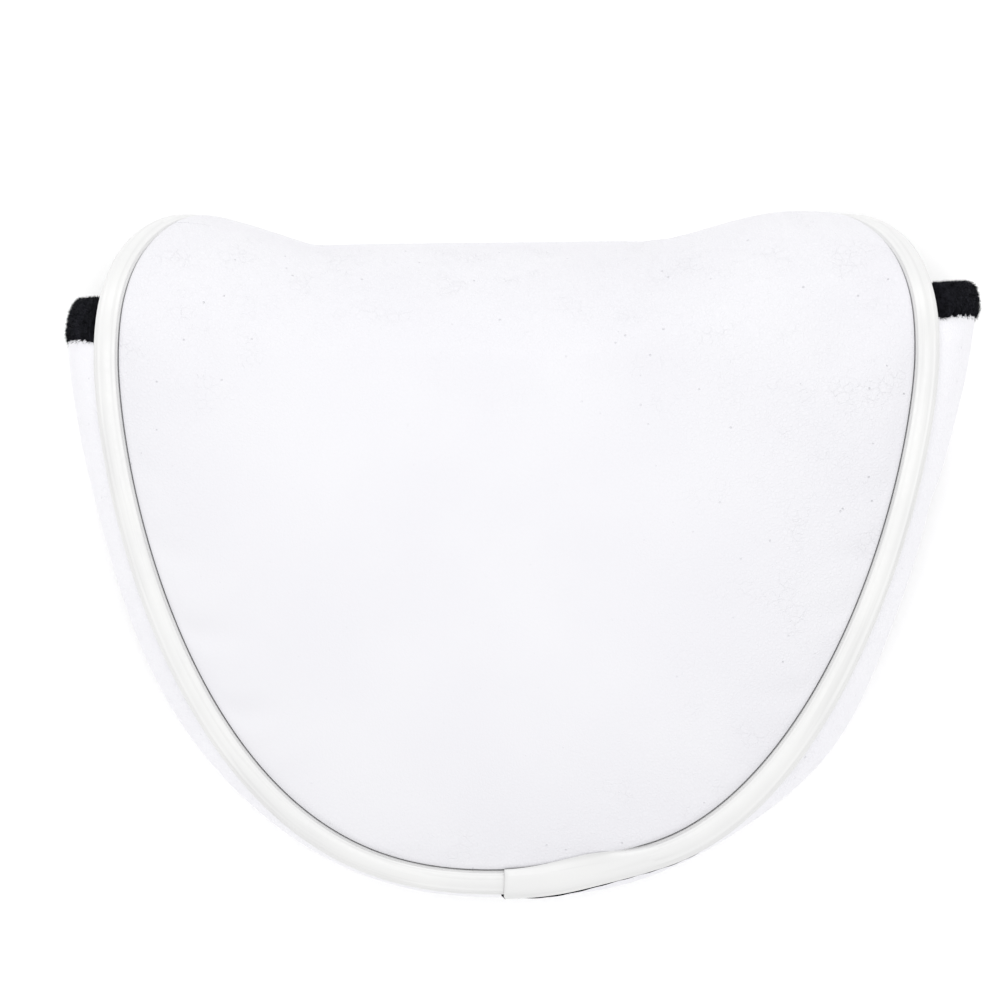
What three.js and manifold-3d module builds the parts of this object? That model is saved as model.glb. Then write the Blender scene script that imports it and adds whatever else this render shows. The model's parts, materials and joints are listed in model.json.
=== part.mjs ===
// Head cover for a mallet putter: a padded D-shaped pouch that lies on its back.
// A front panel runs over a soft roll and down behind as a flap, which magnets hold on the back panel.
// A side gusset joins the two panels round the curved end, and piping covers each seam.
//
// Millimetres. +Z is up, out of the front panel. +Y points from the curved end to the mouth, and +X is to
// the right seen from above. The origin is under the middle of the cover, on the surface that it lies on.
//
// The front panel, roll and flap are one pattern. A place on it is (x, s, h): x across, s along the leather
// from the curved end, up over the roll and down the flap, and h out of the leather's outer face.
import * as THREE from "three";
import { LoftGeometry } from "three/addons/geometries/LoftGeometry.js";
import { mergeVertices } from "three/addons/utils/BufferGeometryUtils.js";
import Module from "manifold-3d";

// Overall size
const COVER_LENGTH = 106;
const PIPED_WIDTH = 130;
const COVER_DEPTH = 46;

// Clearance between pieces that touch
const GAP = 0.3;

// Layers of the padded panels and of the thinner gusset, from the outside in
const LEATHER = 1.2;
const FOAM = 2.4;
const PLUSH = 1.2;
const PANEL_WALL = LEATHER + FOAM + PLUSH + 2 * GAP;
const GUSSET_LEATHER = 1;
const GUSSET_FOAM = 1.2;
const GUSSET_PLUSH = 0.9;

// Piping: a cord in a folded strip
const PIPING_RADIUS = 1.95;
const WRAP_THICKNESS = 0.7;
const CORD_RADIUS = PIPING_RADIUS - WRAP_THICKNESS - GAP;
const PIPING_OUT = GAP + PIPING_RADIUS;
const PIPING_DOWN = 2.2;
const LAP_LENGTH = 21;
const LAP_THICKNESS = 0.7;

// Outline of the pouch: a superellipse up to its widest place
const HALF_WIDTH = PIPED_WIDTH / 2 - GAP - 2 * PIPING_RADIUS;
const WIDTH_POWER = 2.58;
const LENGTH_POWER = 1.585;
const SEAM_END_Y = -COVER_LENGTH / 2 + GAP + 2 * PIPING_RADIUS;
const ROLL_RADIUS = COVER_DEPTH / 2;
const ROLL_Y = COVER_LENGTH / 2 - ROLL_RADIUS;
const POUCH_LENGTH = ROLL_Y - SEAM_END_Y;
const FRONT_DROP = 7;
const FRONT_DROP_POWER = 1.5;
const FRONT_CROWN = 3;
const CROWN_FADE = 30;

// The whole cover leans a little to the left towards its curved end.
const LEAN = 0.016;

// Roll and flap
const ROLL_DIP = 5;
const DIP_MIDDLE_X = -5;
const DIP_INNER = 24;
const DIP_OUTER = 48;
const FLAP_HALF_WIDTH = 40;
const SHOULDER_LENGTH = 54;
const SHOULDER_POWER = 1.3;
const FLAP_CORNER = 14;
const FLAP_TAIL = 35;
const HINGE_DEGREES = [38, 94, 150];

// Back panel: flush with the flap's outer face below it, and stepped in under it
const STEP_LOW_Y = -27;
const STEP_HIGH_Y = -11;
const BACK_STEP = PANEL_WALL + 0.5;
const LIP_Y = 32;
const LIP_BINDING = 3.5;

// Gusset ends, at their front and back edges, and the plush rolled over them
const MOUTH_LEFT_Y = 32.6;
const MOUTH_RIGHT_Y = 36.4;
const MOUTH_BACK_Y = 26;
const MOUTH_SLANT_POWER = 4;
const BINDING_LEFT = 5.4;
const BINDING_RIGHT = 4;
const BINDING_PROUD = 0.9;
const BULGE_MOUTH = 6;
const BULGE_SIDE = 3.1;
const BULGE_END = 0.8;
const SWELL = 1.5;
const SWELL_MIDDLE = 46;
const SWELL_SPREAD = 16;
const SEAM_DEPTH = 4.6;

// Closure magnets
const MAGNET_RADIUS = 7.5;
const MAGNET_THICKNESS = 1.8;
const MAGNET_X = 20;
const MAGNET_Y = 12;
const POCKET_RADIUS = MAGNET_RADIUS + 0.4;

const MATERIALS = {
  leather: new THREE.MeshStandardMaterial({ color: 0xf6f5fa, roughness: 0.5, metalness: 0 }),
  piping: new THREE.MeshStandardMaterial({ color: 0xf4f4f3, roughness: 0.3, metalness: 0 }),
  plush: new THREE.MeshStandardMaterial({ color: 0x0c0c0f, roughness: 0.95, metalness: 0 }),
  foam: new THREE.MeshStandardMaterial({ color: 0xe8e4d8, roughness: 0.9, metalness: 0 }),
  cord: new THREE.MeshStandardMaterial({ color: 0xe9e9e6, roughness: 0.8, metalness: 0 }),
  magnet: new THREE.MeshStandardMaterial({ color: 0xb4b6ba, roughness: 0.3, metalness: 1 }),
};

const { clamp, lerp, smoothstep, degToRad } = THREE.MathUtils;

const cover = new THREE.Group();

function addPiece(name, geometry, material) {
  const mesh = new THREE.Mesh(geometry, MATERIALS[material]);
  mesh.name = name;
  cover.add(mesh);
}

// ---------------------------------------------------------------- the pattern

const ROLL_LENGTH = Math.PI * ROLL_RADIUS;
const FLAP_END = POUCH_LENGTH + ROLL_LENGTH + FLAP_TAIL;
const HINGES = HINGE_DEGREES.map((degrees) => POUCH_LENGTH + degToRad(degrees) * ROLL_RADIUS);

function pouchHalfWidth(s) {
  const fromWidest = 1 - clamp(s / POUCH_LENGTH, 0, 1);
  return HALF_WIDTH * (1 - fromWidest ** LENGTH_POWER) ** (1 / WIDTH_POWER);
}

// Half the panel's width at pattern length s: the pouch, the shoulders over the roll, then the flap.
function halfWidth(s) {
  if (s <= POUCH_LENGTH) return pouchHalfWidth(s);
  const past = clamp((s - POUCH_LENGTH) / SHOULDER_LENGTH, 0, 1) ** SHOULDER_POWER;
  const width = lerp(HALF_WIDTH, FLAP_HALF_WIDTH, smoothstep(past, 0, 1));
  const intoCorner = clamp(s - (FLAP_END - FLAP_CORNER), 0, FLAP_CORNER);
  return width - FLAP_CORNER + Math.sqrt(FLAP_CORNER ** 2 - intoCorner ** 2);
}

// The front seam drops towards the curved end, where the pouch is shallower.
function frontSeamZ(y) {
  const below = clamp((ROLL_Y - y) / POUCH_LENGTH, 0, 1.1);
  return COVER_DEPTH - FRONT_DROP * below ** FRONT_DROP_POWER;
}

// The padding lifts the middle of the front panel above its seam, and fades out over the roll.
function frontCrown(x, s) {
  const across = clamp(1 - (Math.abs(x) / (halfWidth(s) + 1e-6)) ** 2.2, 0, 1);
  const fromEnd = 1 - (1 - clamp(s / 35, 0, 1)) ** 2;
  const overRoll = 1 - smoothstep(s, POUCH_LENGTH - CROWN_FADE, POUCH_LENGTH + CROWN_FADE);
  return FRONT_CROWN * across * fromEnd * overRoll;
}

// The roll sags between its two shoulders, a little more to the left.
function rollDip(x) {
  return ROLL_DIP * (1 - smoothstep(Math.abs(x - DIP_MIDDLE_X), DIP_INNER, DIP_OUTER));
}

function leaned(x, y, z) {
  return new THREE.Vector3(x + LEAN * (y - ROLL_Y), y, z);
}

function patternPoint(x, s, h) {
  const height = h + frontCrown(x, s);
  if (s <= POUCH_LENGTH) {
    const y = SEAM_END_Y + s;
    return leaned(x, y, frontSeamZ(y) + height);
  }
  const angle = Math.min((s - POUCH_LENGTH) / ROLL_RADIUS, Math.PI);
  const tail = Math.max(s - POUCH_LENGTH - ROLL_LENGTH, 0);
  const y = ROLL_Y + (ROLL_RADIUS - rollDip(x) + height) * Math.sin(angle) - tail;
  return leaned(x, y, ROLL_RADIUS + (ROLL_RADIUS + height) * Math.cos(angle));
}

// ---------------------------------------------------------------- the back panel

function backZ(y) {
  return BACK_STEP * smoothstep(y, STEP_LOW_Y, STEP_HIGH_Y);
}

function backPoint(x, y, h) {
  return leaned(x, y, backZ(y) - h);
}

// ---------------------------------------------------------------- outlines

// The right-hand edge of an outline, against its length from the middle of the curved end.
// A negative length is the same place on the left.
function makeEdge(widthAt, last) {
  const points = [];
  const count = 500;
  for (let i = 0; i <= count; i++) {
    const along = last * (i / count) ** 2.4;
    points.push(new THREE.Vector2(widthAt(along), along));
  }
  const lengths = [0];
  for (let i = 1; i <= count; i++) {
    lengths.push(lengths[i - 1] + points[i].distanceTo(points[i - 1]));
  }
  const indexOf = (length) => {
    const found = lengths.findIndex((value) => value >= length);
    return clamp(found < 0 ? count : found, 1, count);
  };
  return {
    lengthTo(along) {
      const i = clamp(points.findIndex((point) => point.y >= along), 1, count);
      const share = (along - points[i - 1].y) / (points[i].y - points[i - 1].y);
      return lerp(lengths[i - 1], lengths[i], share);
    },
    at(length) {
      const side = length < 0 ? -1 : 1;
      const i = indexOf(Math.abs(length));
      const share = (Math.abs(length) - lengths[i - 1]) / (lengths[i] - lengths[i - 1]);
      const place = points[i - 1].clone().lerp(points[i], share);
      const before = points[Math.max(i - 3, 0)];
      const after = points[Math.min(i + 2, count)];
      const outward = new THREE.Vector2(after.y - before.y, before.x - after.x).normalize();
      return {
        x: side * place.x,
        along: place.y,
        outX: side * outward.x,
        outAlong: outward.y,
      };
    },
  };
}

// Width of the pouch seen from above, which curves in over the roll.
function planHalfWidth(fromEnd) {
  const intoRoll = clamp((fromEnd - POUCH_LENGTH) / ROLL_RADIUS, 0, 1);
  if (intoRoll <= 0) return pouchHalfWidth(fromEnd);
  return halfWidth(POUCH_LENGTH + Math.asin(intoRoll) * ROLL_RADIUS);
}

const patternEdge = makeEdge(halfWidth, HINGES[0]);
const planEdge = makeEdge(planHalfWidth, POUCH_LENGTH + 0.8 * ROLL_RADIUS);

// ---------------------------------------------------------------- shape helpers

function signedVolume(geometry) {
  const solid = geometry.index ? geometry.toNonIndexed() : geometry;
  const position = solid.getAttribute("position");
  const corners = [0, 1, 2].map(() => new THREE.Vector3());
  let volume = 0;
  for (let i = 0; i < position.count; i += 3) {
    corners.forEach((corner, k) => corner.fromBufferAttribute(position, i + k));
    volume += corners[0].dot(corners[1].cross(corners[2])) / 6;
  }
  return volume;
}

// A closed solid through convex rings, with its faces out whichever way the rings run.
function rod(rings) {
  const caps = { capStart: true, capEnd: true };
  const made = new LoftGeometry(rings, caps);
  if (signedVolume(made) > 0) return made;
  return new LoftGeometry(rings.map((ring) => [...ring].reverse()), caps);
}

// A closed solid between two matching grids of points: its two faces, and a wall round their edges.
function slab(outerRows, innerRows) {
  const [outer, inner] = [outerRows, innerRows].map((rows) => new LoftGeometry(rows, { closed: false }));
  const columns = outerRows[0].length;
  const count = columns * outerRows.length;
  const rim = [];
  for (let k = 0; k < columns - 1; k++) rim.push(k);
  for (let k = columns - 1; k < count - 1; k += columns) rim.push(k);
  for (let k = count - 1; k > count - columns; k--) rim.push(k);
  for (let k = count - columns; k > 0; k -= columns) rim.push(k);

  const triangles = [...outer.index.array];
  triangles.push(...Array.from(inner.index.array, (k) => k + count).reverse());
  rim.forEach((a, k) => {
    const b = rim[(k + 1) % rim.length];
    triangles.push(b, a, a + count, b, a + count, b + count);
  });
  const places = [...outer.getAttribute("position").array, ...inner.getAttribute("position").array];
  const made = new THREE.BufferGeometry()
    .setAttribute("position", new THREE.Float32BufferAttribute(places, 3))
    .setIndex(triangles);
  return signedVolume(made) > 0 ? made : made.setIndex(triangles.reverse());
}

function steps(count, first, last, power = 1) {
  const values = [];
  for (let i = 0; i <= count; i++) values.push(lerp(first, last, (i / count) ** power));
  return values;
}

// A sheet between heights `outer` and `inner`, through rows that each run across the outline.
function sheet(rows, columns, widthAt, place, outer, inner) {
  const across = steps(columns, -1, 1);
  const face = (height) =>
    rows.map((row) => across.map((share) => place(share * widthAt(row), row, height)));
  return slab(face(outer), face(inner));
}

// Rows for a sheet from pattern length `from` to `to`, closer together at a rounded end.
function flapRows(from, to) {
  const cornerStart = to - FLAP_CORNER;
  const corner = steps(5, 0, Math.PI / 2).map((angle) => cornerStart + FLAP_CORNER * Math.sin(angle));
  return [...steps(4, from, cornerStart - 3), ...corner];
}

// An arc of a piping section, as [out, up] pairs from the edge of the panel.
function pipingArc(radius, fromDegrees, toDegrees, count) {
  return steps(count, degToRad(fromDegrees), degToRad(toDegrees)).map((angle) => [
    PIPING_OUT + radius * Math.cos(angle),
    -PIPING_DOWN + radius * Math.sin(angle),
  ]);
}

// The wrap is a strip folded round the cord, with its slit towards the seam.
const WRAP_ARC = [-105, 205, 6];
const WRAP_OUTSIDE = pipingArc(PIPING_RADIUS, ...WRAP_ARC);
const WRAP_INSIDE = pipingArc(PIPING_RADIUS - WRAP_THICKNESS, ...WRAP_ARC);
const CORD_SECTION = pipingArc(CORD_RADIUS, 0, 300, 5);

// The laid-over end of the strip, on the outside of the wrap.
const LAP_ARC = [-38, 100, 5];
const LAP_INSIDE = pipingArc(PIPING_RADIUS + GAP, ...LAP_ARC);
const LAP_OUTSIDE = pipingArc(PIPING_RADIUS + GAP + LAP_THICKNESS, ...LAP_ARC);

// Frames along an edge, each a function from out and up to a place. `place` maps x, along, up to 3-D.
function edgeFrames(edge, lengths, place) {
  return lengths.map((length) => {
    const at = edge.at(length);
    return (out, up) => place(at.x + at.outX * out, at.along + at.outAlong * out, up);
  });
}

// The same along a list of pattern points, used where the piping leaves the pouch.
function patternFrames(points) {
  return points.map((point, i) => {
    const before = points[Math.max(i - 1, 0)];
    const after = points[Math.min(i + 1, points.length - 1)];
    const outward = new THREE.Vector2(after.y - before.y, before.x - after.x).normalize();
    return (out, up) => patternPoint(point.x + outward.x * out, point.y + outward.y * out, up);
  });
}

function sweep(frames, section) {
  return frames.map((frame) => section.map(([out, up]) => frame(out, up)));
}

// ---------------------------------------------------------------- panels

const COLUMNS = 10;

const LAYERS = [
  { name: "leather", material: "leather", outer: 0, inner: -LEATHER },
  { name: "foam", material: "foam", outer: -LEATHER - GAP, inner: -LEATHER - GAP - FOAM },
  { name: "lining", material: "plush", outer: -PANEL_WALL + PLUSH, inner: -PANEL_WALL },
];

function addFrontPanel() {
  const rows = [...steps(7, 0.35, 62, 1.5), ...steps(4, 70, HINGES[0] - GAP / 2)];
  for (const { name, material, outer, inner } of LAYERS) {
    addPiece(`front_${name}`, sheet(rows, COLUMNS, halfWidth, patternPoint, outer, inner), material);
  }
}

function addRoll(body, from, to) {
  const rows = steps(4, from + GAP / 2, to - GAP / 2);
  for (const { name, material, outer, inner } of LAYERS) {
    addPiece(`${body}_${name}`, sheet(rows, COLUMNS, halfWidth, patternPoint, outer, inner), material);
  }
}

function magnetDisc(radius, thickness, x, z) {
  const shape = new THREE.CylinderGeometry(radius, radius, thickness, 24);
  const place = leaned(x, MAGNET_Y, z);
  return shape.rotateX(Math.PI / 2).translate(place.x, place.y, place.z);
}

const wasm = await Module();
wasm.setup();

function toSolid(geometry) {
  const bare = new THREE.BufferGeometry()
    .setAttribute("position", geometry.getAttribute("position"))
    .setIndex(geometry.index);
  const merged = mergeVertices(bare, 1e-4);
  return new wasm.Manifold(
    new wasm.Mesh({
      numProp: 3,
      vertProperties: new Float32Array(merged.getAttribute("position").array),
      triVerts: new Uint32Array(merged.index.array),
    }),
  );
}

function toGeometry(solid) {
  const mesh = solid.getMesh();
  return new THREE.BufferGeometry()
    .setAttribute("position", new THREE.BufferAttribute(mesh.vertProperties, 3))
    .setIndex(new THREE.BufferAttribute(mesh.triVerts, 1));
}

// Cuts a round pocket for each magnet through a foam sheet.
function withPockets(foam, z) {
  let solid = toSolid(foam);
  for (const side of [-1, 1]) {
    solid = solid.subtract(toSolid(magnetDisc(POCKET_RADIUS, 4 * FOAM, side * MAGNET_X, z)));
  }
  return toGeometry(solid);
}

const FOAM_MIDDLE = LEATHER + GAP + FOAM / 2;

function addFlap() {
  const rows = flapRows(HINGES[2] + GAP / 2, FLAP_END);
  for (const { name, material, outer, inner } of LAYERS) {
    const plain = sheet(rows, COLUMNS, halfWidth, patternPoint, outer, inner);
    const piece = name === "foam" ? withPockets(plain, FOAM_MIDDLE) : plain;
    addPiece(`flap_${name}`, piece, material);
  }
}

function addBackPanel() {
  const top = LIP_Y - LIP_BINDING;
  const rows = [
    ...steps(4, SEAM_END_Y + 0.35, STEP_LOW_Y, 1.6),
    ...steps(3, STEP_LOW_Y + 4, STEP_HIGH_Y),
    ...steps(2, STEP_HIGH_Y + 13, top),
  ];
  const widthAt = (y) => pouchHalfWidth(y - SEAM_END_Y);
  for (const { name, material, outer, inner } of LAYERS) {
    const plain = sheet(rows, COLUMNS, widthAt, backPoint, outer, inner);
    const piece = name === "foam" ? withPockets(plain, BACK_STEP + FOAM_MIDDLE) : plain;
    addPiece(`back_${name}`, piece, material);
  }
  addLipBinding(top + GAP);
}

// A rounded bar of plush along the back panel's free edge.
function addLipBinding(from) {
  const middle = (from + LIP_Y) / 2;
  const reach = (LIP_Y - from) / 2;
  const ring = steps(12, 0, 2 * Math.PI).slice(0, -1);
  const columns = steps(12, -HALF_WIDTH + 1.5, HALF_WIDTH - 1.5);
  const rings = columns.map((x) =>
    ring.map((angle) => {
      const y = middle + reach * Math.sign(Math.cos(angle)) * Math.abs(Math.cos(angle)) ** 0.6;
      const up = (PANEL_WALL / 2) * Math.sign(Math.sin(angle)) * Math.abs(Math.sin(angle)) ** 0.6;
      return leaned(x, y, BACK_STEP + PANEL_WALL / 2 + up);
    }),
  );
  addPiece("back_lip_binding", rod(rings), "plush");
}

function addMagnets() {
  for (const [side, sign] of [["left", -1], ["right", 1]]) {
    const x = sign * MAGNET_X;
    addPiece(`flap_magnet_${side}`, magnetDisc(MAGNET_RADIUS, MAGNET_THICKNESS, x, FOAM_MIDDLE), "magnet");
    const z = BACK_STEP + FOAM_MIDDLE;
    addPiece(`back_magnet_${side}`, magnetDisc(MAGNET_RADIUS, MAGNET_THICKNESS, x, z), "magnet");
  }
}

// ---------------------------------------------------------------- gusset

// Front and back edges of the gusset at a place y, inside the piping.
function gussetFrontZ(y) {
  if (y <= ROLL_Y) return frontSeamZ(y) - SEAM_DEPTH;
  return ROLL_RADIUS + Math.sqrt((ROLL_RADIUS - SEAM_DEPTH) ** 2 - (y - ROLL_Y) ** 2);
}

function gussetBackZ(y) {
  return backZ(y) + SEAM_DEPTH;
}

// The gusset bows out between its seams, most at the mouth, with a slack place low on the right.
function gussetBulge(length, y, depth) {
  const up = clamp((y - SEAM_END_Y) / (MOUTH_RIGHT_Y - SEAM_END_Y), 0, 1);
  const side = lerp(BULGE_END, BULGE_SIDE, smoothstep(up, 0, 0.35));
  const swell = SWELL * Math.exp(-(((length - SWELL_MIDDLE) / SWELL_SPREAD) ** 2));
  const nearMouth = clamp((up - 0.6) / 0.4, 0, 1) ** 2;
  const most = lerp(side, BULGE_MOUTH, nearMouth) + swell;
  return most * Math.sin(Math.PI * clamp(depth, 0, 1)) ** 0.8;
}

// Edge length, signed by side, at which the gusset ends at this depth from front (0) to back (1).
function gussetEnd(side, depth) {
  const frontY = side < 0 ? MOUTH_LEFT_Y : MOUTH_RIGHT_Y;
  const y = lerp(frontY, MOUTH_BACK_Y, depth ** MOUTH_SLANT_POWER);
  return side * planEdge.lengthTo(y - SEAM_END_Y);
}

function gussetPoint(length, depth, out) {
  const at = planEdge.at(length);
  const y = SEAM_END_Y + at.along;
  const reach = out + gussetBulge(length, y, depth);
  return leaned(
    at.x + at.outX * reach,
    y + at.outAlong * reach,
    lerp(gussetFrontZ(y), gussetBackZ(y), depth),
  );
}

function addGusset() {
  const plushOuter = GAP + GUSSET_PLUSH;
  const foamOuter = plushOuter + GAP + GUSSET_FOAM;
  const leatherOuter = foamOuter + GAP + GUSSET_LEATHER;
  const layers = [
    { name: "leather", material: "leather", outer: leatherOuter, inner: leatherOuter - GUSSET_LEATHER },
    { name: "foam", material: "foam", outer: foamOuter, inner: foamOuter - GUSSET_FOAM },
    { name: "lining", material: "plush", outer: plushOuter, inner: GAP },
  ];
  const depths = steps(4, 0, 1);
  const shares = steps(28, -1, 1);
  const face = (out) =>
    shares.map((share) => {
      const lengthAt = (depth) => Math.abs(share) * gussetEnd(Math.sign(share) || 1, depth);
      return depths.map((depth) => gussetPoint(lengthAt(depth), depth, out));
    });
  for (const { name, material, outer, inner } of layers) {
    addPiece(`gusset_${name}`, slab(face(outer), face(inner)), material);
  }
  addMouthBinding("left", -1, BINDING_LEFT, leatherOuter);
  addMouthBinding("right", 1, BINDING_RIGHT, leatherOuter);
}

// The plush turned over the gusset's end: a rounded bar from its front edge to its back edge.
function addMouthBinding(name, side, bindingLength, leatherOuter) {
  const middle = (GAP + leatherOuter) / 2;
  const reach = (leatherOuter - GAP) / 2 + BINDING_PROUD;
  const ring = steps(12, 0, 2 * Math.PI).slice(0, -1);
  const squared = (value) => Math.sign(value) * Math.abs(value) ** 0.65;
  const rings = steps(8, 0.03, 0.97).map((depth) => {
    const start = Math.abs(gussetEnd(side, depth)) + GAP;
    return ring.map((angle) => {
      const along = start + (bindingLength / 2) * (1 + squared(Math.cos(angle)));
      return gussetPoint(side * along, depth, middle + reach * squared(Math.sin(angle)));
    });
  });
  addPiece(`mouth_binding_${name}`, rod(rings), "plush");
}

// ---------------------------------------------------------------- piping

function addPiping(body, frames, side = "") {
  const wrap = slab(sweep(frames, WRAP_OUTSIDE), sweep(frames, WRAP_INSIDE));
  addPiece(`${body}_piping_wrap${side}`, wrap, "piping");
  addPiece(`${body}_piping_cord${side}`, rod(sweep(frames, CORD_SECTION)), "cord");
}

// Round the pouch, from the roll on one side to the roll on the other. Where the front strip's ends
// meet, at the curved end, one laps over the other.
function addPouchPiping() {
  const frontTop = patternEdge.lengthTo(HINGES[0] - GAP / 2);
  addPiping("front", edgeFrames(patternEdge, steps(40, -frontTop, frontTop), patternPoint));
  const lap = edgeFrames(patternEdge, steps(6, -0.6, LAP_LENGTH), patternPoint);
  addPiece("front_piping_lap", slab(sweep(lap, LAP_OUTSIDE), sweep(lap, LAP_INSIDE)), "piping");

  const onBack = (x, along, h) => backPoint(x, SEAM_END_Y + along, h);
  const backTop = planEdge.lengthTo(LIP_Y - LIP_BINDING - SEAM_END_Y);
  addPiping("back", edgeFrames(planEdge, steps(40, -backTop, backTop), onBack));
}

// Points of the pattern's edge on one side of the roll, in order anticlockwise on the pattern.
function rollEdge(side, from, to, count) {
  const points = steps(count, from, to).map((s) => new THREE.Vector2(side * halfWidth(s), s));
  return side > 0 ? points : points.reverse();
}

function addRollPiping(body, from, to) {
  for (const [name, side] of [["left", -1], ["right", 1]]) {
    const points = rollEdge(side, from + GAP / 2, to - GAP / 2, 4);
    addPiping(body, patternFrames(points), `_${name}`);
  }
}

// Round the flap's free edge: down its right side, across its end and up its left side.
function addFlapPiping() {
  const straight = FLAP_END - FLAP_CORNER;
  const corner = steps(6, 0, Math.PI / 2).map(
    (angle) =>
      new THREE.Vector2(
        FLAP_HALF_WIDTH - FLAP_CORNER * (1 - Math.cos(angle)),
        straight + FLAP_CORNER * Math.sin(angle),
      ),
  );
  const right = [...rollEdge(1, HINGES[2] + GAP / 2, straight - 3, 6), ...corner];
  const left = right.map((point) => new THREE.Vector2(-point.x, point.y)).reverse();
  addPiping("flap", patternFrames([...right, ...left]));
}

addFrontPanel();
addRoll("roll_upper", HINGES[0], HINGES[1]);
addRoll("roll_lower", HINGES[1], HINGES[2]);
addFlap();
addBackPanel();
addGusset();
addMagnets();
addPouchPiping();
addRollPiping("roll_upper", HINGES[0], HINGES[1]);
addRollPiping("roll_lower", HINGES[1], HINGES[2]);
addFlapPiping();

export default cover;
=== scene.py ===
import json
import math

import bpy
import numpy as np
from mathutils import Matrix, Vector


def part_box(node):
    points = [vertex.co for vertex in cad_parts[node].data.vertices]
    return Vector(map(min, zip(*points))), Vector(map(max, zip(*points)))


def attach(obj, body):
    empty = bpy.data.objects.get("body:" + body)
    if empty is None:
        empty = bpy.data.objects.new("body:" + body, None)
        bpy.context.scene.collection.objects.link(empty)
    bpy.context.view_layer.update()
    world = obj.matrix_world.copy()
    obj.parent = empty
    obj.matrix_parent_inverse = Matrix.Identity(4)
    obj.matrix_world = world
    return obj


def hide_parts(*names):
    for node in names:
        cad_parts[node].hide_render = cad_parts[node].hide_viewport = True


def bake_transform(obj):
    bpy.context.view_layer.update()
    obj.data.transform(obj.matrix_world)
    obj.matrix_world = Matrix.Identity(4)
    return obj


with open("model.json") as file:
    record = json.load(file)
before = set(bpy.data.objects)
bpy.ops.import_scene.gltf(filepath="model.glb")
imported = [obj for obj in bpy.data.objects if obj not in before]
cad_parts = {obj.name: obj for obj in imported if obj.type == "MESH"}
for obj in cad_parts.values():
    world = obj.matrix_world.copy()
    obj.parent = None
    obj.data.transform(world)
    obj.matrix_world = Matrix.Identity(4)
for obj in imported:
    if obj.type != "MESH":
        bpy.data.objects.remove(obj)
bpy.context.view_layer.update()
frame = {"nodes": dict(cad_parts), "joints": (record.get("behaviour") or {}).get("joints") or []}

MM = 0.001
TINY = 1e-6
SEED = 11


# ------------------------------------------------------------------ sizes, from the frame

def box_mm(node):
    low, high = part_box(node)
    return np.array(low) / MM, np.array(high) / MM


def circle_through(a, b, c):
    """Centre and radius of the circle through three points of a plane."""
    rows = 2 * np.array([b - a, c - a])
    centre = np.linalg.solve(rows, [b @ b - a @ a, c @ c - a @ a])
    return centre, np.linalg.norm(a - centre)


GAP = 0.3
LEATHER = 1.2
FOAM = 2.4
PLUSH = 1.2
PANEL_WALL = LEATHER + FOAM + PLUSH + 2 * GAP
GUSSET_LEATHER = 1.0
GUSSET_FOAM = 1.2
GUSSET_PLUSH = 0.9

PIPING_RADIUS = 1.95
WRAP_THICKNESS = 0.7
CORD_CLEARANCE = 0.05
CORD_RADIUS = PIPING_RADIUS - WRAP_THICKNESS - CORD_CLEARANCE
SEAM_OPENING = 0.03
PIPING_OUT = SEAM_OPENING + PIPING_RADIUS
PIPING_DOWN = 2.2
PIPING_SQUARENESS = 0.5

hinges = [np.array(joint["pos_m"])[1:] / MM for joint in frame["joints"]]
(ROLL_Y, ROLL_Z), ROLL_RADIUS = circle_through(*hinges)
FOLDS = [math.degrees(math.atan2(y - ROLL_Y, z - ROLL_Z)) for y, z in hinges]
SPLITS = [(FOLDS[0] + FOLDS[1]) / 2, (FOLDS[1] + FOLDS[2]) / 2]

piping_low, piping_high = box_mm("back_piping_wrap")
flap_low, flap_high = box_mm("flap_leather")
lip_low, lip_high = box_mm("back_lip_binding")
HALF_WIDTH = (piping_high[0] - piping_low[0]) / 2 - GAP - 2 * PIPING_RADIUS
SEAM_END_Y = piping_low[1] + GAP + 2 * PIPING_RADIUS
POUCH_LENGTH = ROLL_Y - SEAM_END_Y
ROLL_LENGTH = math.pi * ROLL_RADIUS
FLAP_HALF_WIDTH = 40
FLAP_END = POUCH_LENGTH + ROLL_LENGTH + ROLL_Y - flap_low[1]
BACK_STEP = box_mm("back_leather")[1][2] - LEATHER
LIP_LOW_Y = lip_low[1] - GAP
LIP_Y = lip_high[1]

# Curves of the outline and of the padding
WIDTH_POWER = 2.58
LENGTH_POWER = 1.585
FRONT_DROP = 7
FRONT_DROP_POWER = 1.5
FRONT_DROP_END = 1.1
FRONT_CROWN = 3
CROWN_SQUARENESS = 2.2
CROWN_RISE = 35
CROWN_FADE = 30
LEAN = 0.016
PULL = 1.1
PULL_X = 15
PULL_SPREAD = 10
PULL_FADE = (2, 25)
ROLL_DIP = 5
DIP_MIDDLE_X = -5
DIP_INNER = 24
DIP_OUTER = 48
SHOULDER_LENGTH = 54
SHOULDER_POWER = 1.3
FLAP_CORNER = 14
STEP_LOW_Y = -27
STEP_HIGH_Y = -11

# Gusset
MOUTH_LEFT_Y = 32.6
MOUTH_RIGHT_Y = 36.1
MOUTH_BACK_Y = 26
MOUTH_SLANT_POWER = 5
BULGE_MOUTH_LEFT = 5.3
BULGE_MOUTH_RIGHT = 6.7
BULGE_SIDE = 3.1
BULGE_END = 0.8
SWELL = 1.5
SWELL_MIDDLE = 50
SWELL_SPREAD = 14
BULGE_RISE = 0.35
MOUTH_BULGE_START = 0.6
BULGE_ROUNDNESS = 0.8
SEAM_DEPTH = 4.0
PLUSH_OUT = GAP + GUSSET_PLUSH
FOAM_OUT = PLUSH_OUT + GAP + GUSSET_FOAM
LEATHER_OUT = FOAM_OUT + GAP + GUSSET_LEATHER


# ------------------------------------------------------------------ the pattern

def smoothstep(value, low, high):
    t = np.clip((value - low) / (high - low), 0, 1)
    return t * t * (3 - 2 * t)


def lerp(a, b, share):
    return a + (b - a) * share


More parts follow.
